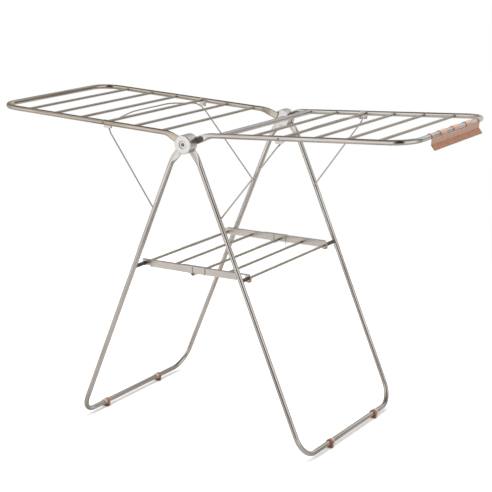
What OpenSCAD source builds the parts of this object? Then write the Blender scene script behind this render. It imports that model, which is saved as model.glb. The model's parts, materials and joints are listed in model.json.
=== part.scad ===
// Folding clothes drying rack: two crossing U-shaped legs, two folding wings,
// wing props of bent wire and a folding shelf, all turning about two hubs.
// X runs across the rack, Y along the rungs, Z up. The origin is on the floor
// under the middle of the hub axis. The right-hand half is the left-hand half
// turned half a turn about Z.

/* [Hubs] */
// Height of the hub axis above the floor
hub_z = 950; // [900:5:1000]
// Distance from the middle of the rack to the outer face of a hub
hub_y = 322; // [318:1:326]
// Diameter of the hub drums
hub_d = 58; // [56:1:62]
// Diameter of the bolt through each hub
bolt_d = 8; // [6:0.5:9]

/* [Frame tubes] */
// Outside diameter of the leg and wing tubes
tube_d = 16; // [15:0.5:16]
// Wall thickness of the leg and wing tubes
tube_wall = 0.8; // [0.6:0.1:1.2]
// Radius of the big corners, to the middle of the tube
corner_r = 70; // [50:1:90]

/* [Legs] */
// Lean of each leg from the vertical, in degrees
leg_tilt = 22.78; // [20:0.01:24]
// Distance between a leg's straight part and the hub axis
leg_offset = 18.35; // [16:0.05:20]
// Distance from the hub axis to the bend in a leg's neck
leg_neck = 66.8; // [62:0.1:72]
// Height of the middle of the bottom bars
bar_z = 17; // [15:0.5:20]

/* [Wings] */
// Rise of each wing from the level, in degrees
wing_rise = 3.03; // [2:0.01:4]
// Distance between a wing's rails and the hub axis
wing_offset = 23.57; // [22:0.01:25]
// Distance from the hub axis to the bend in a wing's neck
wing_neck = 74.2; // [70:0.1:80]
// Distance from the hub axis to a wing's end tube, along X
wing_x = 727; // [700:1:740]
// Diameter of the drying rungs
rung_d = 8.5; // [7:0.5:9]
// Distance from the hub axis to the first rung, along X
rung_x = 102.8; // [100:0.1:106]
// Spacing of the rungs, along X
rung_pitch = 103.1; // [98:0.1:104]

/* [Wing props] */
// Diameter of the prop wires
wire_d = 4.5; // [4:0.1:4.5]
// Depth of the props' pivots below the hub axis
prop_drop = 222; // [218:1:226]
// Length of a prop, from its pivot to the middle of its bow
prop_len = 345; // [343:1:345]
// Lift of the props above the level, in degrees
prop_lift = 51.9; // [51.5:0.1:51.9]

/* [Shelf] */
// Depth of the shelf's pivots below the hub axis
shelf_drop = 405; // [400:1:410]
// Height of the shelf's centre hinge below its pivots
pin_drop = 8; // [6:1:9]
// Width of the shelf's struts
strut_w = 14; // [12:1:16]
// Height of the shelf's struts
strut_h = 21; // [18:1:22]
// Thickness of the sheet metal
sheet = 1.2; // [1:0.1:1.5]

/* [Grip strip] */
// Length of the ribbed grip strip on the right wing
grip_len = 362; // [340:1:380]

/* [Hidden] */
rungs = 6;

steel = [0.72, 0.69, 0.65];
dark_steel = [0.40, 0.38, 0.36];
copper = [0.72, 0.50, 0.40];
dark_plastic = [0.22, 0.21, 0.20];

smooth = 64;
fit = 0.05;
gap = 0.4;

// Places of the left tubes along Y, front and back
leg_y = [-316, 297];
wing_y = [-295, 276];
mid_y = (leg_y[0] + leg_y[1]) / 2;
// Places of the flattened ends along Y, front and back
leg_tab_y = [-313.5, 294.5];
wing_tab_y = [-302, 282];
tab_t = 4;
tab_w = 22;
eye_d = 44;
neck_flat = 42;
bore_d = bolt_d + 2 * fit;

// Hub layers, as distances from the middle of the rack
hub_depth = 46;
outer_floor = 304.4;
outer_rim = 299.5;
inner_top = 299;
inner_floor = 284.5;
rim_wall = 3;
recess_d = 25;
recess_depth = 2.5;
wing_fold = 64;

// Directions in the X-Z plane, from the hub axis outward
leg_turn = asin(leg_offset / leg_neck);
leg_dir = [-sin(leg_tilt), -cos(leg_tilt)];
leg_bend = leg_neck * [-sin(leg_tilt + leg_turn), -cos(leg_tilt + leg_turn)];
leg_foot = leg_bend + leg_dir * (hub_z - bar_z + leg_bend[1]) / cos(leg_tilt);
wing_turn = asin(wing_offset / wing_neck);
wing_dir = [-cos(wing_rise), sin(wing_rise)];
wing_bend = wing_neck * [-cos(wing_rise + wing_turn), sin(wing_rise + wing_turn)];
wing_end = wing_bend + wing_dir * (wing_x + wing_bend[0]) / cos(wing_rise);
leg_neck_turn = 90 + leg_tilt + leg_turn;
wing_neck_turn = 180 + wing_rise + wing_turn;
window_half = 27;
window_start = 360 - wing_neck_turn - window_half;
window_end = 360 - wing_neck_turn + wing_fold + window_half;

// Props
prop_x = leg_offset / cos(leg_tilt) + tan(leg_tilt) * prop_drop;
prop_side = tube_d / 2 + wire_d / 2 + 0.6;
hook_t = 1.5;
prop_top_y = [wing_y[0] + tube_d / 2 + hook_t + wire_d / 2 + 0.4,
              wing_y[1] - tube_d / 2 - hook_t - wire_d / 2 - 0.4];
prop_root_y = [leg_y[0] + prop_side, leg_y[1] - prop_side];
hook_x = 303;

// Shelf
shelf_x = leg_offset / cos(leg_tilt) + tan(leg_tilt) * shelf_drop;
shelf_z = hub_z - shelf_drop;
pin_z = shelf_z - pin_drop;
strut_base = pin_z + 2;
strut_y = [-270, 237];
leaf_len = 45;
lobe_d = 14;
arm_len = 14;
pin_d = 5;
shelf_rungs_x = [-92, 21, 105];
shelf_rung_z = pin_z + 10;
spacer_d = 12;
clip = [12, 13, 18];
clip_drop = 12.5;

// Feet and grip strip
foot_y = [-184.5, 122.5];
foot_w = 22;
grip_y = -150;
fingers = 5;
end_finger = 14;
mid_finger = 40;

function unit(v) = v / norm(v);
function at(p, y) = [p[0], y, hub_z + p[1]];
function rail_point(x) = [-x, wing_offset / cos(wing_rise) + tan(wing_rise) * x];
function heading(a, b) = atan2(b[1] - a[1], b[0] - a[0]);
function wrap(a) = a > 180 ? a - 360 : a < -180 ? a + 360 : a;
function turn_at(path, i) =
    wrap(heading(path[i], path[i + 1]) - heading(path[i - 1], path[i]));
function setback(path, radii, i) = radii[i - 1] * tan(abs(turn_at(path, i)) / 2);
function hundredths(v) = round(v * 100) / 100;

// Turns the left-hand half into the right-hand half
module half_turn() {
    rotate([0, 0, 180]) children();
}

// A round bar from p to q
module rod(p, q, d) {
    z = unit(q - p);
    x = unit(cross(abs(z[1]) < 0.9 ? [0, 1, 0] : [0, 0, 1], z));
    y = cross(z, x);
    multmatrix([[x[0], y[0], z[0], p[0]],
                [x[1], y[1], z[1], p[1]],
                [x[2], y[2], z[2], p[2]],
                [0, 0, 0, 1]])
        cylinder(h = norm(q - p), d = d, $fn = smooth);
}

// A U of round bar: two arms of the given length along X, closed by a bar along Y
module u_bar(length, y, r, d) {
    for (side = y)
        translate([0, side, 0]) rotate([0, 90, 0])
            cylinder(h = length - r, d = d, $fn = smooth);
    translate([length - r, y[0] + r, 0]) rotate([0, 0, -90])
        rotate_extrude(angle = 90, $fn = 96) translate([r, 0]) circle(d = d, $fn = smooth);
    translate([length - r, y[1] - r, 0])
        rotate_extrude(angle = 90, $fn = 96) translate([r, 0]) circle(d = d, $fn = smooth);
    translate([length, y[0] + r, 0]) rotate([-90, 0, 0])
        cylinder(h = y[1] - y[0] - 2 * r, d = d, $fn = smooth);
}

// A round bar along the flat path from its point i on, starting along local +X,
// with a bend of radii[i] after each straight stretch. The bends are a little fatter
// than the straights, which run into them.
module trace(path, radii, d, i = 0) {
    last = len(path) - 2;
    before = i == 0 ? 0 : setback(path, radii, i);
    after = i == last ? 0 : setback(path, radii, i + 1);
    length = norm(path[i + 1] - path[i]) - before - after;
    lap = 0.2;
    swell = 0.06;
    translate([i == 0 ? 0 : -lap, 0, 0]) rotate([0, 90, 0])
        cylinder(h = length + (i == 0 ? 0 : lap) + (i == last ? 0 : lap), d = d, $fn = smooth);
    if (i < last) {
        r = radii[i];
        t = turn_at(path, i + 1);
        side = sign(t);
        translate([length, side * r, 0]) {
            rotate([0, 0, side > 0 ? -90 : 90 + t])
                rotate_extrude(angle = abs(t), $fn = 96)
                    translate([r, 0]) circle(d = d + swell, $fn = smooth);
            rotate([0, 0, t]) translate([0, -side * r, 0]) trace(path, radii, d, i + 1);
        }
    }
}

// Local +X along a neck, with the hub axis as the local Y axis
module on_neck(turn) {
    translate([0, 0, hub_z]) rotate([0, turn, 0]) children();
}

// The flat end that goes into a hub, without its hole
module tab_blank(turn, y) {
    on_neck(turn) translate([0, y + tab_t / 2, 0]) rotate([90, 0, 0])
        linear_extrude(tab_t) {
            circle(d = eye_d, $fn = 96);
            translate([0, -tab_w / 2]) square([neck_flat, tab_w]);
        }
}

// Local +X along a tube's straight arms, from the bend in its neck
module on_arms(bend, turn) {
    translate([bend[0], 0, hub_z + bend[1]]) rotate([0, turn, 0]) children();
}

// The bent neck, where the round tube goes over into its flat end
module neck(bend, arm_turn, neck_turn, tube_y, tab_y) {
    swell = 0.4;
    lap = 0.6;
    hull() {
        on_arms(bend, arm_turn) translate([0, tube_y, 0]) rotate([0, 90, 0])
            cylinder(d = tube_d + swell, h = 3, $fn = 32);
        on_neck(neck_turn)
            translate([neck_flat - lap, tab_y - tab_t / 2 - swell / 2, -tab_w / 2 - swell / 2])
                cube([0.4, tab_t + swell, tab_w + swell]);
    }
}

// One U-shaped tube: bend and end are points of its outline in the X-Z plane
module u_tube(bend, end, arm_turn, neck_turn, tube_y, tab_y) {
    length = hundredths(norm(end - bend));
    on_arms(bend, arm_turn) difference() {
        u_bar(length, tube_y, corner_r, tube_d);
        u_bar(length, tube_y, corner_r, tube_d - 2 * tube_wall);
    }
    for (i = [0, 1]) {
        neck(bend, arm_turn, neck_turn, tube_y[i], tab_y[i]);
        difference() {
            tab_blank(neck_turn, tab_y[i]);
            hub_bore(tab_y[i]);
        }
    }
}

// The bolt's hole through whatever lies near y
module hub_bore(y) {
    translate([0, y + 20, hub_z]) rotate([90, 0, 0])
        cylinder(d = bore_d, h = 40, $fn = smooth);
}

module leg_tube() {
    color(steel) difference() {
        u_tube(leg_bend, leg_foot, 90 + leg_tilt, leg_neck_turn, leg_y, leg_tab_y);
        for (i = [0, 1])
            rod([-prop_x, leg_y[i], hub_z - prop_drop],
                [-prop_x, leg_y[i] * 0.9, hub_z - prop_drop], wire_d + 2 * fit);
    }
}

module left_leg_tube() {
    color(steel) difference() {
        leg_tube();
        for (i = [0, 1])
            rod([-shelf_x, leg_y[i], shelf_z],
                [-shelf_x, leg_y[i] * 0.9, shelf_z], rung_d + 2 * fit);
    }
}

module right_leg_tube() {
    half_turn() leg_tube();
}

module wing_tube() {
    color(steel)
        u_tube(wing_bend, wing_end, 180 + wing_rise, wing_neck_turn, wing_y, wing_tab_y);
}

// Local Z along the hub axis towards the front, X and Y in the X-Z plane
module on_axis() {
    translate([0, 0, hub_z]) rotate([90, 0, 0]) children();
}

// The way that the wing's flat end swings through, cut out of a hub half's rim
module swing_window(z0, z1) {
    r = hub_d;
    steps = 4;
    step = (window_end - window_start) / steps;
    translate([0, 0, z0]) linear_extrude(z1 - z0)
        polygon(concat([[0, 0]], [for (k = [0:steps])
            r * [cos(window_start + k * step), sin(window_start + k * step)]]));
}

// The hub half at the left leg's front end, with the outer face
module hub_outer_half() {
    r = hub_d / 2;
    bore = bore_d / 2;
    chamfer = 2;
    color(steel) difference() {
        on_axis() difference() {
            rotate_extrude($fn = 96)
                polygon([[r - rim_wall, outer_rim], [r, outer_rim], [r, hub_y - chamfer],
                         [r - chamfer, hub_y], [recess_d / 2, hub_y],
                         [recess_d / 2, hub_y - recess_depth],
                         [bore, hub_y - recess_depth], [bore, outer_floor],
                         [r - rim_wall, outer_floor]]);
            swing_window(outer_rim - 1, outer_floor);
        }
        tab_blank(leg_neck_turn, leg_tab_y[0]);
    }
}

// The hub half at the left leg's back end, which is the inner one there
module hub_inner_half() {
    r = hub_d / 2;
    bore = bore_d / 2;
    inner_face = hub_y - hub_depth;
    color(steel) difference() {
        on_axis() difference() {
            rotate_extrude($fn = 96)
                polygon([[bore, -inner_top], [r, -inner_top], [r, -inner_face],
                         [r - rim_wall, -inner_face], [r - rim_wall, -inner_floor],
                         [bore, -inner_floor]]);
            swing_window(-inner_floor, -inner_face + 1);
        }
        tab_blank(leg_neck_turn, leg_tab_y[1]);
    }
}

// Bolt with a six-sided head in the recess of the front hub
module hub_bolt() {
    head = 11;
    head_h = 2.6;
    seat = hub_y - recess_depth + 1.2;
    color(dark_steel) on_axis() {
        translate([0, 0, 277.5]) cylinder(d = bolt_d, h = seat - 277.5, $fn = smooth);
        translate([0, 0, seat]) cylinder(d = head, h = head_h - 1.2, $fn = 6);
    }
}

// Nut inside the rim at the inner face of the front hub
module hub_nut() {
    nut = 14;
    nut_h = 3;
    color(dark_steel) on_axis() translate([0, 0, 277]) difference() {
        cylinder(d = nut, h = nut_h - 0.4, $fn = 6);
        translate([0, 0, 0.5]) cylinder(d = bolt_d, h = nut_h, $fn = smooth);
    }
}

// Ring washer under the bolt's head
module hub_cap() {
    color(dark_steel) on_axis() translate([0, 0, hub_y - recess_depth])
        difference() {
            cylinder(d = recess_d - 3, h = 1.2, $fn = smooth);
            translate([0, 0, -1]) cylinder(d = bore_d, h = 4, $fn = smooth);
        }
}

// Rungs of the left wing, counted from the hub
module wing_rung(i, d, wall) {
    p = rail_point(rung_x + rung_pitch * (i - 1));
    color(steel) difference() {
        rod(at(p, wing_y[0]), at(p, wing_y[1]), d);
        rod(at(p, wing_y[0] - 1), at(p, wing_y[1] + 1), d - 2 * wall);
        for (y = wing_y) rod(at(p - wing_dir * 20, y), at(p + wing_dir * 20, y), tube_d);
    }
}

// Prop: a wire bent to a wide U, whose turned-out ends sit in the leg's holes
module prop_wire() {
    half_top = mid_y - prop_top_y[0];
    half_root = mid_y - prop_root_y[0];
    half_end = mid_y - leg_y[0] - 1;
    path = [[prop_len, 0], [prop_len, 110], [prop_len - 25, half_top],
            [0, half_root], [0, half_end]];
    color(dark_steel) translate([-prop_x, mid_y, hub_z - prop_drop])
        rotate([0, 180 + prop_lift, 0])
            for (m = [0, 1]) mirror([0, m, 0]) translate([prop_len, 0, 0])
                rotate([0, 0, 90]) trace(path, [400, 45, 2.6], wire_d);
}

// Hooks on the left wing's rails, which the prop lies in
module prop_hooks() {
    plate_x = 26;
    plate_up = 7;
    plate_down = 18;
    lip = 9;
    p = rail_point(hook_x);
    rung = rail_point(rung_x + 2 * rung_pitch);
    color(steel) for (i = [0, 1]) {
        face = wing_y[i] + (i == 0 ? tube_d / 2 : -tube_d / 2 - hook_t);
        lip_y = i == 0 ? face : face + hook_t - lip;
        difference() {
            translate([p[0], 0, hub_z + p[1]]) rotate([0, wing_rise, 0]) difference() {
                union() {
                    translate([-plate_x / 2, face, -plate_down])
                        cube([plate_x, hook_t, plate_down + plate_up]);
                    translate([plate_x / 2 - hook_t, lip_y, -plate_down])
                        cube([hook_t, lip, 12]);
                }
                translate([-plate_x / 2, face - 1, -plate_down]) rotate([0, 45, 0])
                    cube([14, hook_t + 2, 14], center = true);
            }
            rod(at(rung, face - 1), at(rung, face + hook_t + 1), rung_d + 2 * fit);
        }
    }
}

// Rivets through the left wing's rails, which hold the hooks
module hook_rivets() {
    p = rail_point(hook_x + 6);
    head = 6;
    shank = 3;
    color(dark_steel) for (i = [0, 1]) {
        out = i == 0 ? -1 : 1;
        rod(at(p, wing_y[i] + out * (tube_d / 2 - 0.4)),
            at(p, wing_y[i] + out * (tube_d / 2 + 1)), head);
    }
}

// A channel that is open below, from x0 to x1 along a strut
module channel(x0, x1, y) {
    difference() {
        translate([x0, y, strut_base]) cube([x1 - x0, strut_w, strut_h]);
        translate([x0 - 1, y + sheet, strut_base - 1])
            cube([x1 - x0 + 2, strut_w - 2 * sheet, strut_h + 1 - sheet]);
    }
}

// Ear of a strut's inner web that hangs on the shelf axle at x
module axle_ear(x, y) {
    ear_d = 18;
    rod([x, y, shelf_z], [x, y + sheet, shelf_z], ear_d);
    translate([x - ear_d / 2, y, shelf_z]) cube([ear_d, sheet, strut_base + strut_h - shelf_z]);
}

// Slanted cut that takes the webs away between x0 and x1 and leaves the top flange
module web_cut(x0, x1, y, depth) {
    slant = 8;
    top = strut_base + strut_h - sheet;
    translate([0, y + depth, 0]) rotate([90, 0, 0]) linear_extrude(depth)
        polygon([[x0, strut_base - 9], [x1, strut_base - 9],
                 [x1 + (x1 < 0 ? slant : 0), top], [x0 - (x0 > 0 ? slant : 0), top]]);
}

// Outer and inner web of strut i, as their lowest Y
function outer_web(i) = i == 0 ? strut_y[0] : strut_y[1] + strut_w - sheet;
function inner_web(i) = i == 0 ? strut_y[0] + strut_w - sheet : strut_y[1];

// One strut of the left shelf half, whose outer web stops short of the axle
module left_strut(i) {
    y = strut_y[i];
    color(steel) difference() {
        union() {
            difference() {
                channel(-shelf_x, -gap, y);
                web_cut(-shelf_x - 1, -shelf_x + 26, outer_web(i) - 0.5, sheet + 1);
            }
            axle_ear(-shelf_x, inner_web(i));
        }
        axle_hole(-shelf_x, y);
        hinge_room(y);
    }
}

// One strut of the right shelf half: both webs of the front one stop short of the axle
module right_strut(i) {
    y = strut_y[i];
    cut_y = i == 0 ? y : outer_web(i);
    color(steel) difference() {
        union() {
            difference() {
                channel(arm_len + 1, shelf_x, y);
                web_cut(shelf_x - 28, shelf_x + 1, cut_y - 0.5, strut_w + 1);
            }
            axle_ear(shelf_x, inner_web(i));
        }
        axle_hole(shelf_x, y);
        hinge_room(y);
    }
}

module axle_hole(x, y) {
    rod([x, y - 1, shelf_z], [x, y + strut_w + 1, shelf_z], rung_d);
}

// Room round the centre pin for the lobes of the other half's leaf
module hinge_room(y) {
    rod([0, y - 1, pin_z], [0, y + strut_w + 1, pin_z], lobe_d + 2 * gap);
}

// Saddle over the inner end of a strut, without its hinge lobes
module leaf_saddle(x0, y) {
    difference() {
        translate([x0, y - sheet, strut_base])
            cube([leaf_len - gap, strut_w + 2 * sheet, strut_h + sheet]);
        translate([x0 - 1, y, strut_base - 1])
            cube([leaf_len + 2, strut_w, strut_h + 1]);
        rod([0, y - 5, pin_z], [0, y + strut_w + 5, pin_z], lobe_d + 2 * gap);
    }
}

// A hinge lobe about the centre pin, with its arm to one side
module lobe(side, y0) {
    difference() {
        union() {
            rod([0, y0, pin_z], [0, y0 + sheet, pin_z], lobe_d);
            translate([side < 0 ? -arm_len : gap, y0, pin_z])
                cube([arm_len - gap, sheet, strut_h]);
        }
        rod([0, y0 - 1, pin_z], [0, y0 + sheet + 1, pin_z], pin_d + 2 * fit);
    }
}

module left_leaf(i) {
    y = strut_y[i];
    color(steel) {
        leaf_saddle(-leaf_len, y);
        lobe(-1, y - sheet);
        lobe(-1, y + strut_w);
    }
}

module right_leaf(i) {
    y = strut_y[i];
    color(steel) {
        leaf_saddle(gap, y);
        lobe(1, y + gap);
        lobe(1, y + strut_w - sheet - gap);
        for (side_y = [y, y + strut_w - gap])
            translate([lobe_d / 2 + 1, side_y, strut_base])
                cube([arm_len - lobe_d / 2 - 1, gap, strut_h - 2]);
    }
}

module shelf_hinge_pins() {
    head = 8;
    color(dark_steel) for (y = strut_y) {
        rod([0, y - sheet - 1, pin_z], [0, y + strut_w + sheet + 1, pin_z], pin_d);
        rod([0, y - sheet - 2, pin_z], [0, y - sheet - 0.2, pin_z], head);
    }
}

// Shelf rungs that span the struts
module shelf_rung(x) {
    inset = abs(x) < leaf_len ? sheet : 0;
    p = [x, strut_y[0] + strut_w + inset, shelf_rung_z];
    q = [x, strut_y[1] - inset, shelf_rung_z];
    hollow_rod(p, q, rung_d);
}

module hollow_rod(p, q, d) {
    color(steel) difference() {
        rod(p, q, d);
        rod(p - unit(q - p), q + unit(q - p), d - 1.4);
    }
}

module left_shelf_axle() {
    hollow_rod([-shelf_x, leg_y[0] + 2, shelf_z], [-shelf_x, leg_y[1] - 2, shelf_z], rung_d);
}

module right_shelf_axle() {
    hollow_rod([shelf_x, -leg_y[1] + tube_d / 2 + gap, shelf_z],
               [shelf_x, -leg_y[0] - tube_d / 2 - gap, shelf_z], rung_d);
}

// A sleeve on a shelf axle
module sleeve(x, y0, y1, d) {
    difference() {
        rod([x, y0, shelf_z], [x, y1, shelf_z], d);
        rod([x, y0 - 1, shelf_z], [x, y1 + 1, shelf_z], rung_d);
    }
}

module left_shelf_spacers() {
    color(dark_plastic) {
        sleeve(-shelf_x, leg_y[0] + tube_d / 2 + gap, inner_web(0), spacer_d);
        sleeve(-shelf_x, inner_web(1) + sheet, leg_y[1] - tube_d / 2 - gap, spacer_d);
    }
}

module right_shelf_spacers() {
    color(dark_plastic) {
        sleeve(shelf_x, -leg_y[1] + tube_d / 2 + gap, inner_web(0), spacer_d);
        sleeve(shelf_x, clip_y(1) + clip[1] + gap, -leg_y[0] - tube_d / 2 - gap, spacer_d);
    }
}

// Clip on the right axle just behind the inner web of strut i, as its lowest Y
function clip_y(i) = inner_web(i) + sheet + gap;

module shelf_clips() {
    color(copper) for (i = [0, 1]) difference() {
        translate([shelf_x - clip[0] / 2, clip_y(i), shelf_z - clip_drop]) cube(clip);
        rod([shelf_x, clip_y(i) - 1, shelf_z], [shelf_x, clip_y(i) + clip[1] + 1, shelf_z], rung_d);
    }
}

// Grey collar round the left bottom bar, beside a foot's pad
module foot_collars() {
    ring = 2;
    color(dark_steel) for (y = foot_y) translate([leg_foot[0], y, bar_z])
        rotate([90, 0, 0]) difference() {
            cylinder(d = tube_d + 2 * ring, h = foot_w / 2, $fn = smooth);
            translate([0, 0, -1]) cylinder(d = tube_d, h = foot_w, $fn = smooth);
        }
}

// Foot pad that clips round the left bottom bar
module foot(y) {
    wall = 3;
    color(copper) translate([leg_foot[0], y, 0]) difference() {
        union() {
            translate([-tube_d / 2 - wall, 0, 0])
                cube([tube_d + 2 * wall, foot_w / 2, bar_z]);
            translate([0, 0, bar_z]) rotate([-90, 0, 0])
                cylinder(d = tube_d + 2 * wall, h = foot_w / 2, $fn = smooth);
        }
        translate([0, -1, bar_z]) rotate([-90, 0, 0])
            cylinder(d = tube_d, h = foot_w, $fn = smooth);
    }
}

// Outline of the grip strip across the end tube, about the tube's middle
module grip_outline() {
    shell = 2;
    difference() {
        circle(d = tube_d + 2 * shell, $fn = smooth);
        circle(d = tube_d + 2 * fit, $fn = smooth);
        translate([-20, -20]) square([20 + 2, 17]);
    }
    polygon([[7.6, -5.6], [9.9, -1.5], [7.2, -22], [19.3, -37.2], [17.2, -39],
             [4.6, -22.8], [5.8, -7.4]]);
}

module grip_strip() {
    window = (grip_len - 2 * end_finger - (fingers - 2) * mid_finger) / (fingers - 1);
    pitch = window + mid_finger;
    color(copper) translate([-wing_end[0], 0, hub_z + wing_end[1]]) difference() {
        translate([0, grip_y + grip_len, 0]) rotate([90, 0, 0])
            linear_extrude(grip_len) difference() {
                grip_outline();
                circle(d = tube_d + 2 * fit, $fn = smooth);
            }
        for (k = [0:fingers - 2])
            translate([-15, grip_y + end_finger + k * pitch, -4])
                cube([30, window, 20]);
    }
}

left_leg_tube();
right_leg_tube();
wing_tube();  // left_wing_tube
half_turn() wing_tube();  // right_wing_tube
hub_outer_half();  // front_hub_outer
half_turn() hub_inner_half();  // front_hub_inner
half_turn() hub_outer_half();  // back_hub_outer
hub_inner_half();  // back_hub_inner
hub_bolt();  // front_hub_bolt
half_turn() hub_bolt();  // back_hub_bolt
hub_nut();  // front_hub_nut
half_turn() hub_nut();  // back_hub_nut
hub_cap();  // front_hub_cap
half_turn() hub_cap();  // back_hub_cap
for (i = [1:rungs])
    wing_rung(i, rung_d, 0.7);
half_turn() wing_rung(1, tube_d - 0.2, tube_wall);  // right_wing_cross_tube
for (i = [2:rungs])
    half_turn() wing_rung(i, rung_d, 0.7);
prop_wire();  // left_prop_wire
half_turn() prop_wire();  // right_prop_wire
prop_hooks();  // left_prop_hooks
half_turn() prop_hooks();  // right_prop_hooks
hook_rivets();  // left_hook_rivets
half_turn() hook_rivets();  // right_hook_rivets
left_strut(0);  // front_left_strut
left_strut(1);  // back_left_strut
right_strut(0);  // front_right_strut
right_strut(1);  // back_right_strut
left_leaf(0);  // front_left_leaf
left_leaf(1);  // back_left_leaf
right_leaf(0);  // front_right_leaf
right_leaf(1);  // back_right_leaf
shelf_hinge_pins();
left_shelf_axle();
right_shelf_axle();
for (i = [1:3])
    shelf_rung(shelf_rungs_x[i - 1]);
left_shelf_spacers();
right_shelf_spacers();
shelf_clips();
foot_collars();  // left_foot_collars
half_turn() foot_collars();  // right_foot_collars
foot(foot_y[0]);  // left_front_foot
foot(foot_y[1]);  // left_back_foot
half_turn() foot(foot_y[1]);  // right_front_foot
half_turn() foot(foot_y[0]);  // right_back_foot
grip_strip();
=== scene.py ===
"""Looks for the folding clothes drying rack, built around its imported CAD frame."""
import json
import math

import bmesh
import bpy
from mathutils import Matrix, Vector

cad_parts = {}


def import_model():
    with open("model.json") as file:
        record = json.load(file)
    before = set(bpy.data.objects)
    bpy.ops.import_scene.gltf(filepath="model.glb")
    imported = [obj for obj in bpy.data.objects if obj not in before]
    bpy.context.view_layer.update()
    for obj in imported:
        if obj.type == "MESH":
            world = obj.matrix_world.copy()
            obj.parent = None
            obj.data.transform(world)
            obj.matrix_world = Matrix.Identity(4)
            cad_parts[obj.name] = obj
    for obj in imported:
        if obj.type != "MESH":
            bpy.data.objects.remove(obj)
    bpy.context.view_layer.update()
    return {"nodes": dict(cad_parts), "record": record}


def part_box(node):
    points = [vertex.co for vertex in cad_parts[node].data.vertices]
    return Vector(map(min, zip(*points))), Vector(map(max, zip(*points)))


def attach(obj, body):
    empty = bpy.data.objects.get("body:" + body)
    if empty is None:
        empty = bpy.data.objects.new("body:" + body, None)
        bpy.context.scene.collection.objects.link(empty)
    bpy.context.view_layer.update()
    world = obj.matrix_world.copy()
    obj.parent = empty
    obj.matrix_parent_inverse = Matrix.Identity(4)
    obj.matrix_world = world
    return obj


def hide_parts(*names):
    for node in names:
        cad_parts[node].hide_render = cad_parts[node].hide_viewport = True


MM = 0.001
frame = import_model()


# Driving sizes in millimetres, as in the CAD design

def mm(value):
    return value / MM


def node_low(name):
    return [mm(v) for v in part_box(name)[0]]


def node_high(name):
    return [mm(v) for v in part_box(name)[1]]


joint_at = {j["name"]: [mm(v) for v in j["pos_m"]] for j in frame["record"]["behaviour"]["joints"]}
HUB_Z = joint_at["leg_fold"][2]
TUBE_R = 8.0
CORNER_R = 70.0
LEG_TILT = 22.78
LEG_OFFSET = 18.35
LEG_NECK = 66.8
BAR_Z = 17.0
WING_RISE = 3.03
WING_OFFSET = 23.57
WING_NECK = 74.2
WING_X = 727.0
LEG_Y = (-316.0, 297.0)
LEG_TAB_Y = (-313.5, 294.5)
WING_Y = (-295.0, 276.0)
WING_TAB_Y = (-302.0, 282.0)
TAB_HALF_W = 11.6
TAB_HALF_T = 2.0
RECESS_R = 12.5
RIB_COUNT = 46
FLOOR_RADIUS_M = 2.3


def polar(radius, degrees):
    """A point in the X-Z plane, from the hub axis, with the angle taken from +X."""
    return Vector((radius * math.cos(math.radians(degrees)), 0, radius * math.sin(math.radians(degrees))))


LEG_ARM = 270 - LEG_TILT
LEG_TURN = math.degrees(math.asin(LEG_OFFSET / LEG_NECK))
LEG_BEND = polar(LEG_NECK, LEG_ARM - LEG_TURN)
LEG_LENGTH = (HUB_Z - BAR_Z + LEG_BEND.z) / math.cos(math.radians(LEG_TILT))
WING_ARM = 180 - WING_RISE
WING_TURN = math.degrees(math.asin(WING_OFFSET / WING_NECK))
WING_BEND = polar(WING_NECK, WING_ARM - WING_TURN)
WING_LENGTH = (WING_X + WING_BEND.x) / math.cos(math.radians(WING_RISE))
HUB = Vector((0, 0, HUB_Z))
RIGHT = -1
LEFT = 1


# Materials

def nodes_of(name):
    material = bpy.data.materials.new(name)
    material.use_nodes = True
    tree = material.node_tree
    return material, tree, tree.nodes["Principled BSDF"]


def ramp(tree, source, stops):
    """A colour ramp over source, with stops as (place, colour)."""
    node = tree.nodes.new("ShaderNodeValToRGB")
    elements = node.color_ramp.elements
    while len(elements) < len(stops):
        elements.new(0.5)
    for element, (place, colour) in zip(elements, stops):
        element.position = place
        element.color = (*colour, 1)
    tree.links.new(source, node.inputs["Fac"])
    return node.outputs["Color"]


def noise(tree, vector, scale, detail=3.0, roughness=0.5):
    node = tree.nodes.new("ShaderNodeTexNoise")
    node.inputs["Scale"].default_value = scale
    node.inputs["Detail"].default_value = detail
    node.inputs["Roughness"].default_value = roughness
    tree.links.new(vector, node.inputs["Vector"])
    return node.outputs["Fac"]


def mapped(tree, source, scale):
    node = tree.nodes.new("ShaderNodeMapping")
    node.inputs["Scale"].default_value = scale
    tree.links.new(source, node.inputs["Vector"])
    return node.outputs["Vector"]


def remap(tree, source, low, high):
    node = tree.nodes.new("ShaderNodeMapRange")
    node.inputs["To Min"].default_value = low
    node.inputs["To Max"].default_value = high
    tree.links.new(source, node.inputs["Value"])
    return node.outputs["Result"]


def maths(tree, operation, source, value):
    """A maths node that works on source and a number."""
    node = tree.nodes.new("ShaderNodeMath")
    node.operation = operation
    node.inputs[1].default_value = value
    tree.links.new(source, node.inputs[0])
    return node


def multiplied(tree, colour, shade):
    """One colour times another."""
    node = tree.nodes.new("ShaderNodeMix")
    node.data_type = "RGBA"
    node.blend_type = "MULTIPLY"
    node.inputs["Factor"].default_value = 1.0
    tree.links.new(colour, node.inputs["A"])
    tree.links.new(shade, node.inputs["B"])
    return node.outputs["Result"]


def bump(tree, shader, height, strength, distance):
    node = tree.nodes.new("ShaderNodeBump")
    node.inputs["Strength"].default_value = strength
    node.inputs["Distance"].default_value = distance
    tree.links.new(height, node.inputs["Height"])
    tree.links.new(node.outputs["Normal"], shader.inputs["Normal"])


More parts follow.
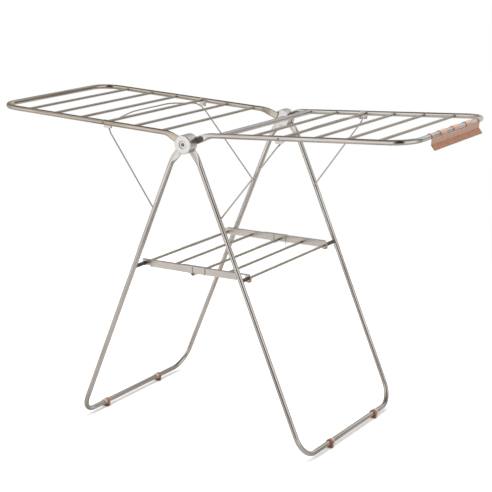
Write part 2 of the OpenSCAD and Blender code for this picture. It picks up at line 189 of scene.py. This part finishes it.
def metal(name, dark, light, rough_low, rough_high, drawn):
    """Bare steel with streaks, cloudy tarnish and fine grain; drawn is for the tubes, which have UVs, and
    adds broad light and dark bands along them: painted reflections.
    """
    material, tree, shader = nodes_of(name)
    coords = tree.nodes.new("ShaderNodeTexCoord")
    place = coords.outputs["Object"]
    streak_place = mapped(tree, coords.outputs["UV" if drawn else "Object"],
                          (70, 5, 1) if drawn else (900, 60, 900))
    streaks = noise(tree, streak_place, 1.0, 4.0, 0.6)
    clouds = noise(tree, place, 14.0, 3.0)
    mix = maths(tree, "MULTIPLY_ADD", streaks, 0.55)
    tree.links.new(maths(tree, "MULTIPLY", clouds, 0.45).outputs[0], mix.inputs[2])
    tone = ramp(tree, mix.outputs[0], [(0.3, dark), (0.7, light)])
    if drawn:
        # Broad light and dark bands along the tube, multiplied into its colour: painted reflection streaks
        painted_reflection_bands = noise(tree, mapped(tree, coords.outputs["UV"], (11, 0.25, 1)), 1.0, 2.0, 0.7)
        tone = multiplied(tree, tone, ramp(tree, painted_reflection_bands, [(0.38, (0.60, 0.56, 0.51)), (0.52, (1, 1, 1))]))
    tree.links.new(tone, shader.inputs["Base Color"])
    tree.links.new(remap(tree, mix.outputs[0], rough_high, rough_low), shader.inputs["Roughness"])
    shader.inputs["Metallic"].default_value = 1.0
    grain = noise(tree, place, 1800.0, 2.0)
    bump(tree, shader, grain, 0.06, 0.0004)
    return material


def plastic(name, dark, light, rough):
    """Moulded plastic: soft mottling and a fine eggshell grain."""
    material, tree, shader = nodes_of(name)
    place = tree.nodes.new("ShaderNodeTexCoord").outputs["Object"]
    mottle = noise(tree, place, 60.0, 4.0, 0.6)
    tree.links.new(ramp(tree, mottle, [(0.3, dark), (0.7, light)]), shader.inputs["Base Color"])
    tree.links.new(remap(tree, noise(tree, place, 300.0), rough - 0.08, rough + 0.08),
                   shader.inputs["Roughness"])
    shader.inputs["Specular IOR Level"].default_value = 0.45
    bump(tree, shader, noise(tree, place, 2500.0, 2.0), 0.12, 0.0003)
    return material


def ribbed(pitch):
    """The dark copper plastic, with darker bands between ribs that are pitch millimetres apart along Y."""
    material = COPPER_DARK.copy()
    material.name = "fin_plastic"
    tree = material.node_tree
    shader = tree.nodes["Principled BSDF"]
    tone = shader.inputs["Base Color"].links[0].from_socket
    split = tree.nodes.new("ShaderNodeSeparateXYZ")
    tree.links.new(tree.nodes.new("ShaderNodeTexCoord").outputs["Object"], split.inputs[0])
    turn = maths(tree, "MULTIPLY", split.outputs["Y"], 2 * math.pi / (pitch * MM))
    wave = tree.nodes.new("ShaderNodeMath")
    wave.operation = "SINE"
    tree.links.new(turn.outputs[0], wave.inputs[0])
    level = remap(tree, wave.outputs[0], 0, 1)
    level.node.inputs["From Min"].default_value = -1
    banded = multiplied(tree, tone, ramp(tree, level, [(0.25, (0.62, 0.56, 0.52)), (0.75, (1, 1, 1))]))
    tree.links.new(banded, shader.inputs["Base Color"])
    return material


TUBE_STEEL = metal("tube_steel", (0.56, 0.52, 0.48), (0.74, 0.71, 0.69), 0.06, 0.15, True)
# For the left wing's tube, which the studio lights warmer: a darker, warmer copy of the tube steel, with
# that light and shade painted into its colour
WARM_LIT_STEEL = metal("warm_lit_tube_steel", (0.44, 0.385, 0.32), (0.60, 0.54, 0.47), 0.10, 0.20, True)
STEEL = metal("sheet_steel", (0.56, 0.52, 0.48), (0.70, 0.66, 0.63), 0.25, 0.40, False)
RUNG_STEEL = metal("rung_steel", (0.40, 0.355, 0.295), (0.55, 0.50, 0.43), 0.18, 0.32, False)
WIRE_STEEL = metal("wire_steel", (0.44, 0.41, 0.37), (0.60, 0.56, 0.52), 0.18, 0.30, False)
# Dark steel, also the colour of the painted shade in the hub's recess and in the shelf's gaps and slits
DARK_STEEL_AND_SHADE = metal("dark_steel", (0.14, 0.125, 0.11), (0.26, 0.24, 0.22), 0.25, 0.42, False)
HUB_STEEL = metal("hub_steel", (0.66, 0.64, 0.62), (0.80, 0.78, 0.765), 0.26, 0.40, False)
COPPER = plastic("copper_plastic", (0.46, 0.275, 0.20), (0.55, 0.345, 0.26), 0.45)
FOOT_PLASTIC = plastic("foot_plastic", (0.25, 0.11, 0.065), (0.33, 0.155, 0.095), 0.5)
COPPER_DARK = plastic("ribbed_plastic", (0.33, 0.155, 0.09), (0.44, 0.22, 0.135), 0.5)
GREY = plastic("grey_plastic", (0.34, 0.315, 0.28), (0.44, 0.41, 0.37), 0.45)
BLACK = plastic("dark_plastic", (0.035, 0.032, 0.03), (0.06, 0.055, 0.05), 0.5)


# Mesh building

def new_object(name, bm, material):
    mesh = bpy.data.meshes.new(name)
    bmesh.ops.recalc_face_normals(bm, faces=bm.faces)
    bm.to_mesh(mesh)
    bm.free()
    mesh.materials.append(material)
    piece = bpy.data.objects.new(name, mesh)
    bpy.context.collection.objects.link(piece)
    return piece


def smooth(piece, angle=40):
    for polygon in piece.data.polygons:
        polygon.use_smooth = True
    piece.data.set_sharp_from_angle(angle=math.radians(angle))


def bevel(piece, width_mm, angle=35):
    modifier = piece.modifiers.new("edges", "BEVEL")
    modifier.width = width_mm * MM
    modifier.segments = 3
    modifier.limit_method = "ANGLE"
    modifier.angle_limit = math.radians(angle)
    modifier.harden_normals = False


def section(n, b, half_n, half_b, power, sides):
    """Points of a rounded cross-section, from an ellipse (2) to a flat bar (higher)."""
    points = []
    for k in range(sides):
        a = 2 * math.pi * k / sides
        c, s = math.cos(a), math.sin(a)
        points.append(n * half_n * math.copysign(abs(c) ** (2 / power), c)
                      + b * half_b * math.copysign(abs(s) ** (2 / power), s))
    return points


def loft(bm, rings, place):
    """Joins rings of points into a closed skin, with U around it and V along it."""
    uv = bm.loops.layers.uv.verify()
    rows = [[bm.verts.new(place(p)) for p in ring] for ring in rings]
    sides = len(rows[0])
    along = 0.0
    for i in range(len(rows) - 1):
        step = (rings[i + 1][0] - rings[i][0]).length / 100
        for k in range(sides):
            j = (k + 1) % sides
            face = bm.faces.new((rows[i][k], rows[i][j], rows[i + 1][j], rows[i + 1][k]))
            spots = ((k, along), (k + 1, along), (k + 1, along + step), (k, along + step))
            for loop, (u, v) in zip(face.loops, spots):
                loop[uv].uv = (u / sides, v)
        along += step
    bm.faces.new(rows[0])
    bm.faces.new(rows[-1])


def metres(point):
    return point * MM


def in_world(side):
    """Left-hand points as they are, or turned half a turn about Z; millimetres to metres."""
    return lambda p: Vector((p.x * side, p.y * side, p.z)) * MM


def ease(t):
    t = max(0.0, min(1.0, t))
    return t * t * (3 - 2 * t)


# Bent tubes with flattened ends

def u_tube_rings(neck_angle, arm_angle, neck, length, tube_y, tab_y, sides=40):
    """Rings of a U tube: in the front hub, along the U and back to the back hub."""
    bend = polar(neck, neck_angle)
    arm = polar(1, arm_angle)
    # From the hub axis: where the flat end stops and the round tube starts; and the bend's half length
    flat_end, round_start, bend_reach = 40.0, neck + 16.0, 12.0
    first_station, station_step = 18, 3
    straight = arm * (length - CORNER_R)
    y_axis = Vector((0, 1, 0))

    def end_rings(which):
        rings = []
        inward = 1 if which == 0 else -1
        last = int((round_start - first_station) / station_step) + 1
        for s in [first_station + station_step * k for k in range(last + 1)]:
            before = min(1.0, max(0.0, (s - (neck - bend_reach)) / (2 * bend_reach)))
            angle = neck_angle + (arm_angle - neck_angle) * ease(before)
            d = polar(1, angle)
            if s <= neck:
                centre = polar(s, neck_angle)
            else:
                centre = bend + arm * (s - neck)
            # Rounds the corner of the bend
            pull = bend_reach * 0.25 * math.exp(-((s - neck) / (bend_reach * 0.6)) ** 2)
            turn_in = (arm - polar(1, neck_angle)).normalized()
            centre = centre + turn_in * pull * (arm - polar(1, neck_angle)).length
            t = ease((s - flat_end) / (round_start - flat_end))
            y = tab_y[which] + (tube_y[which] - tab_y[which]) * t
            n = d.cross(y_axis)
            half_n = TAB_HALF_W + (TUBE_R - TAB_HALF_W) * t
            half_b = TAB_HALF_T + (TUBE_R - TAB_HALF_T) * t ** 0.8
            power = 5 - 3 * ease(t * 1.6)
            centre = HUB + centre + y_axis * y
            rings.append((centre, n, y_axis * inward, half_n, half_b, power))
        return rings

    n = arm.cross(y_axis)
    front = end_rings(0)
    back = end_rings(1)
    rings = list(front)
    for f in (0.25, 0.5, 0.75):
        rings.append((HUB + bend + straight * f + y_axis * tube_y[0], n, y_axis, TUBE_R, TUBE_R, 2))
    steps = 20
    for corner in (0, 1):
        for k in range(steps + 1):
            a = math.pi / 2 * (k / steps if corner == 0 else 1 - k / steps)
            away = 1 if corner == 0 else -1
            centre_y = tube_y[corner] + away * CORNER_R
            out = arm * math.sin(a) - y_axis * away * math.cos(a)
            centre = HUB + bend + straight + y_axis * centre_y + out * CORNER_R
            rings.append((centre, n, -out, TUBE_R, TUBE_R, 2))
    for f in (0.75, 0.5, 0.25):
        rings.append((HUB + bend + straight * f + y_axis * tube_y[1], n, -y_axis, TUBE_R, TUBE_R, 2))
    rings += reversed(back)
    return [[c + p for p in section(n1, b1, hn, hb, pw, sides)] for c, n1, b1, hn, hb, pw in rings]


def u_tube(name, node, body, side, steel, *shape):
    bm = bmesh.new()
    loft(bm, u_tube_rings(*shape), in_world(side))
    piece = new_object(name, bm, steel)
    smooth(piece)
    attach(piece, body)
    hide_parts(node)


LEG_SHAPE = (LEG_ARM - LEG_TURN, LEG_ARM, LEG_NECK, LEG_LENGTH, LEG_Y, LEG_TAB_Y)
WING_SHAPE = (WING_ARM - WING_TURN, WING_ARM, WING_NECK, WING_LENGTH, WING_Y, WING_TAB_Y)
for side_name, side in (("left", LEFT), ("right", RIGHT)):
    u_tube(side_name + "_leg_skin", side_name + "_leg_tube", side_name + "_leg", side,
           TUBE_STEEL, *LEG_SHAPE)
    u_tube(side_name + "_wing_skin", side_name + "_wing_tube", side_name + "_wing", side,
           WARM_LIT_STEEL if side == LEFT else TUBE_STEEL, *WING_SHAPE)


# Weld beads where the rungs meet the rails

def ring_bead(bm, centre, radius, thick, sides=24, around=8):
    """A closed ring of round section about Y."""
    axis = Vector((0, 1, 0))
    x = axis.orthogonal().normalized()
    y = axis.cross(x)
    rows = []
    for k in range(sides):
        a = 2 * math.pi * k / sides
        out = x * math.cos(a) + y * math.sin(a)
        row = []
        for m in range(around):
            b = 2 * math.pi * m / around
            point = centre + out * (radius + thick * math.cos(b)) + axis * thick * math.sin(b)
            row.append(bm.verts.new(metres(point)))
        rows.append(row)
    for k in range(sides):
        for m in range(around):
            k2, m2 = (k + 1) % sides, (m + 1) % around
            bm.faces.new((rows[k][m], rows[k2][m], rows[k2][m2], rows[k][m2]))


def weld_beads(side_name, nodes):
    """A bead round both ends of each rung, where it runs into the curve of the rail."""
    bead_r, sunk, stand_off = 0.7, 0.1, 0.3
    bm = bmesh.new()
    for node in nodes:
        low, high = node_low(node), node_high(node)
        x, z = (low[0] + high[0]) / 2, (low[2] + high[2]) / 2
        radius = (high[2] - low[2]) / 2
        for y, inward in ((low[1], 1), (high[1], -1)):
            reach = TUBE_R - math.sqrt(TUBE_R ** 2 - min(radius, TUBE_R - 0.5) ** 2)
            ring_bead(bm, Vector((x, y + inward * (reach + stand_off), z)), radius - sunk, bead_r)
    piece = new_object(side_name + "_weld_beads", bm, DARK_STEEL_AND_SHADE)
    smooth(piece)
    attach(piece, side_name + "_wing")


weld_beads("left", ["left_wing_rung_%d" % i for i in range(1, 7)])
weld_beads("right", ["right_wing_cross_tube"] + ["right_wing_rung_%d" % i for i in range(2, 7)])


# Shadow gaps: round the hub's recess, and between the leaves and struts of the shelf

def recess_shade_rings():
    """Dark rings of painted shade at the edge of the hub's recess and round the bolt's head."""
    # Radius, depth below the face, thickness and facets
    rings = ((RECESS_R - 0.5, 0.7, 0.65, 64), (RECESS_R / 2, 1.6, 0.5, 48))
    for node, body, side in (("front_hub_outer", "left_leg", LEFT), ("back_hub_outer", "right_leg", RIGHT)):
        face = node_low(node)[1] if side > 0 else node_high(node)[1]
        bm = bmesh.new()
        for radius, depth, thick, sides in rings:
            ring_bead(bm, Vector((0, face + side * depth, HUB_Z)), radius, thick, sides)
        piece = new_object(node + "_ring", bm, DARK_STEEL_AND_SHADE)
        smooth(piece)
        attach(piece, body)


def shade_strip(name, body, x, z0, z1, width, y):
    """A thin dark strip with rounded ends on a strut's web, as painted shade in a gap or slit."""
    half_depth, sides = 0.12, 24
    bm = bmesh.new()
    rows = []
    for depth in (-half_depth, half_depth):
        row = []
        for k in range(sides):
            a = 2 * math.pi * k / sides
            end = z1 - width / 2 if math.sin(a) >= 0 else z0 + width / 2
            row.append(bm.verts.new(Vector((x + width / 2 * math.cos(a), y + depth,
                                            end + width / 2 * math.sin(a))) * MM))
        rows.append(row)
    for k in range(sides):
        j = (k + 1) % sides
        bm.faces.new((rows[0][k], rows[0][j], rows[1][j], rows[1][k]))
    bm.faces.new(rows[0])
    bm.faces.new(rows[1])
    piece = new_object(name, bm, DARK_STEEL_AND_SHADE)
    smooth(piece)
    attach(piece, body)


def shelf_shade_strips():
    """Painted shade at the outer edge of each right leaf and in the slit in each left leaf, on both faces.
    """
    edge_w, edge_in = 1.6, 0.9
    slit_w, slit_x, slit_base = 1.5, -1.2, 12
    for which in ("front", "back"):
        left, right = which + "_left_leaf", which + "_right_leaf"
        low, high = node_low(right), node_high(right)
        for k, y in enumerate((low[1], high[1])):
            shade_strip("%s_leaf_edge_%d" % (which, k + 1), "shelf_right", high[0] - edge_in, low[2] + 0.5,
                 high[2] - 0.5, edge_w, y)
        low, high = node_low(left), node_high(left)
        for k, y in enumerate((low[1], high[1])):
            shade_strip("%s_leaf_slit_%d" % (which, k + 1), "shelf_left", slit_x, low[2] + slit_base,
                 high[2] - 1.5, slit_w, y)


recess_shade_rings()
shelf_shade_strips()


# Ribbed grip strip on the right wing's end tube

def arc(radius, a0, a1, steps):
    """Points of an arc about the tube, from a0 to a1 degrees."""
    angles = [math.radians(a0 + (a1 - a0) * k / steps) for k in range(steps + 1)]
    return [(radius * math.cos(a), radius * math.sin(a)) for a in angles]


def slab(bm, centre, outline_at, ys):
    """A closed solid through the places ys, where outline_at(y) lists its (x, z) points about centre."""
    rows = [[bm.verts.new(metres(centre + Vector((x, y, z)))) for x, z in outline_at(y)] for y in ys]
    count = len(rows[0])
    for a, b in zip(rows, rows[1:]):
        for k in range(count):
            j = (k + 1) % count
            bm.faces.new((a[k], a[j], b[j], b[k]))
    bm.faces.new(rows[0])
    bm.faces.new(rows[-1])


def grip_strip():
    """The clip with its five fingers and skirt, and the ribbed fin below it."""
    low, high = node_low("grip_strip"), node_high("grip_strip")
    end_trim, end_round = 3.0, 0.6
    inner, outer = TUBE_R + 0.05, TUBE_R + 2.0
    centre = Vector((WING_X, 0, high[2] - outer))
    end_finger, mid_finger = 14.0, 40.0
    widths = [end_finger] + [mid_finger] * 3 + [end_finger]
    window = (high[1] - low[1] - sum(widths)) / (len(widths) - 1)
    y0, y1 = low[1] + end_trim, high[1] - 2 * end_trim
    length = y1 - y0

    bm = bmesh.new()
    finger = arc(outer, -30, 205, 30) + arc(inner, 205, -30, 30)
    edge = low[1]
    for wide in widths:
        first = max(edge, y0)
        last = min(edge + wide, y1)
        slab(bm, centre, lambda y: finger, [first, first + end_round, last - end_round, last])
        edge += wide + window
    skirt = [(9.2, -4.2), (9.3, -6.0), (8.4, -13.0), (7.6, -22.5), (5.2, -23.6),
             (6.0, -14.0), (6.4, -7.4), (inner * 0.86, -inner * 0.54), (inner * 0.9, -4.2)]
    slab(bm, centre, lambda y: skirt, [y0, y0 + end_round, y1 - end_round, y1])
    piece = new_object("grip_clip", bm, COPPER)
    bevel(piece, 0.4)
    smooth(piece, 35)
    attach(piece, "right_wing")
    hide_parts("grip_strip")

    def fin(y):
        ridge = 1.1 * abs(math.sin(math.pi * RIB_COUNT * (y - y0) / length)) ** 0.5
        return [(7.5, -21.5), (8.2 + ridge, -22.8), (19.1, -36.6 - ridge * 0.4), (17.4, -38.9),
                (5.6 - ridge, -24.4), (5.0, -22.6)]

    samples = RIB_COUNT * 8
    bm = bmesh.new()
    slab(bm, centre, fin, [y0 + length * k / samples for k in range(samples + 1)])
    piece = new_object("grip_ribs", bm, ribbed(length / RIB_COUNT))
    smooth(piece, 30)
    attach(piece, "right_wing")


grip_strip()


# Looks of the CAD nodes that stay

def material_for(name):
    if "spacer" in name:
        return BLACK
    if "collar" in name:
        return GREY
    if name.endswith("foot"):
        return FOOT_PLASTIC
    if "clips" in name:
        return COPPER_DARK
    if "rung" in name or "axle" in name:
        return RUNG_STEEL
    if "wire" in name:
        return WIRE_STEEL
    if "cap" in name:
        return HUB_STEEL
    if "bolt" in name or "nut" in name or "rivet" in name or "pin" in name:
        return DARK_STEEL_AND_SHADE
    if "hub" in name:
        return HUB_STEEL
    return STEEL


BEVELS = {"hub_outer": 0.8, "hub_inner": 0.6, "strut": 0.3, "leaf": 0.3, "foot": 0.8, "hooks": 0.3}
for name, node in frame["nodes"].items():
    node.data.materials.clear()
    node.data.materials.append(material_for(name))
    for part, width in BEVELS.items():
        if part in name and "collar" not in name:
            bevel(node, width, 40)


# Stage, light and camera

def grey(value, warm=0.0):
    return (value, value * (1 - warm * 0.5), value * (1 - warm))


# Brightness of the studio against the compass (a full turn from -X through -Y) and against height
AROUND = [(0.0, grey(0.62)), (0.06, grey(0.80)), (0.12, grey(1.0)), (0.25, grey(1.0)),
          (0.285, grey(0.10)), (0.375, grey(0.03)), (0.41, grey(0.95)), (0.53, grey(1.0)),
          (0.58, grey(0.50)), (0.65, grey(0.22)), (0.71, grey(0.85)), (0.78, grey(0.62)),
          (0.86, grey(0.28, 0.1)), (0.95, grey(0.40, 0.1)), (1.0, grey(0.62))]
UP = [(0.0, grey(0.45, 0.1)), (0.30, grey(0.8)), (0.40, grey(1.0)), (0.60, grey(1.0)),
      (0.82, grey(0.95)), (0.92, grey(0.40, 0.1)), (1.0, grey(0.50, 0.1))]


def floor():
    bm = bmesh.new()
    bmesh.ops.create_circle(bm, cap_ends=True, segments=96, radius=FLOOR_RADIUS_M)
    material, tree, shader = nodes_of("floor_white")
    place = tree.nodes.new("ShaderNodeTexCoord").outputs["Object"]
    paint = ramp(tree, noise(tree, place, 3.0), [(0.3, grey(0.93)), (0.7, grey(0.95))])
    shade = tree.nodes.new("ShaderNodeMix")
    shade.data_type = "RGBA"
    shade.inputs["A"].default_value = (*grey(0.42, 0.08), 1)
    tree.links.new(tree.nodes.new("ShaderNodeLightPath").outputs["Is Camera Ray"], shade.inputs["Factor"])
    tree.links.new(paint, shade.inputs["B"])
    tree.links.new(shade.outputs["Result"], shader.inputs["Base Color"])
    shader.inputs["Roughness"].default_value = 0.9
    new_object("floor", bm, material)


def soft_box(name, place, aim, width, height, power, colour=(1, 1, 1)):
    light = bpy.data.lights.new(name, "AREA")
    light.shape = "RECTANGLE"
    light.size = width
    light.size_y = height
    light.energy = power
    light.color = colour
    lamp = bpy.data.objects.new(name, light)
    bpy.context.collection.objects.link(lamp)
    lamp.location = place
    lamp.rotation_euler = (Vector(aim) - Vector(place)).to_track_quat("-Z", "Y").to_euler()
    lamp.visible_glossy = False


def world():
    """White behind the object; for reflections, soft light and dark cards round the studio."""
    scene_world = bpy.data.worlds.new("studio")
    bpy.context.scene.world = scene_world
    scene_world.use_nodes = True
    tree = scene_world.node_tree
    tree.nodes.clear()
    out = tree.nodes.new("ShaderNodeOutputWorld")
    seen = tree.nodes.new("ShaderNodeBackground")
    seen.inputs["Color"].default_value = (1, 1, 1, 1)
    lit = tree.nodes.new("ShaderNodeBackground")
    split = tree.nodes.new("ShaderNodeSeparateXYZ")
    tree.links.new(tree.nodes.new("ShaderNodeTexCoord").outputs["Generated"], split.inputs[0])
    height = remap(tree, split.outputs["Z"], 0, 1)
    height.node.inputs["From Min"].default_value = -1
    turn = tree.nodes.new("ShaderNodeMath")
    turn.operation = "ARCTAN2"
    tree.links.new(split.outputs["Y"], turn.inputs[0])
    tree.links.new(split.outputs["X"], turn.inputs[1])
    around = remap(tree, turn.outputs[0], 0, 1)
    around.node.inputs["From Min"].default_value = -math.pi
    around.node.inputs["From Max"].default_value = math.pi
    cards = ramp(tree, around, AROUND)
    up = ramp(tree, height, UP)
    tree.links.new(multiplied(tree, up, cards), lit.inputs["Color"])
    lit.inputs["Strength"].default_value = 1.15
    mix = tree.nodes.new("ShaderNodeMixShader")
    tree.links.new(tree.nodes.new("ShaderNodeLightPath").outputs["Is Camera Ray"], mix.inputs[0])
    tree.links.new(lit.outputs[0], mix.inputs[1])
    tree.links.new(seen.outputs[0], mix.inputs[2])
    tree.links.new(mix.outputs[0], out.inputs[0])


def camera():
    """A long lens from the front right, a little above the wings."""
    azimuth, elevation = math.radians(30.93), math.radians(13.83)
    distance = 4.744
    target = Vector((0.0302, 0, 0.5732))
    forward = Vector((-math.sin(azimuth) * math.cos(elevation), math.cos(azimuth) * math.cos(elevation),
                      -math.sin(elevation)))
    data = bpy.data.cameras.new("camera")
    data.sensor_width = 36
    data.lens = 107.2
    data.clip_end = 100
    shot = bpy.data.objects.new("camera", data)
    bpy.context.collection.objects.link(shot)
    shot.location = target - forward * distance
    shot.rotation_euler = forward.to_track_quat("-Z", "Y").to_euler()
    bpy.context.scene.camera = shot


floor()
world()
camera()
soft_box("key_light", (-2.6, -3.4, 3.4), (0, 0, 0.6), 2.4, 2.4, 90, (1, 0.99, 0.98))
soft_box("fill_light", (4.2, -1.6, 1.8), (0, 0, 0.6), 1.2, 3.0, 30, (1, 0.99, 0.98))
soft_box("top_light", (0, 1.5, 5.2), (0, 1.5, 0), 6.0, 8.0, 420)
bpy.context.scene.view_settings.view_transform = "Standard"
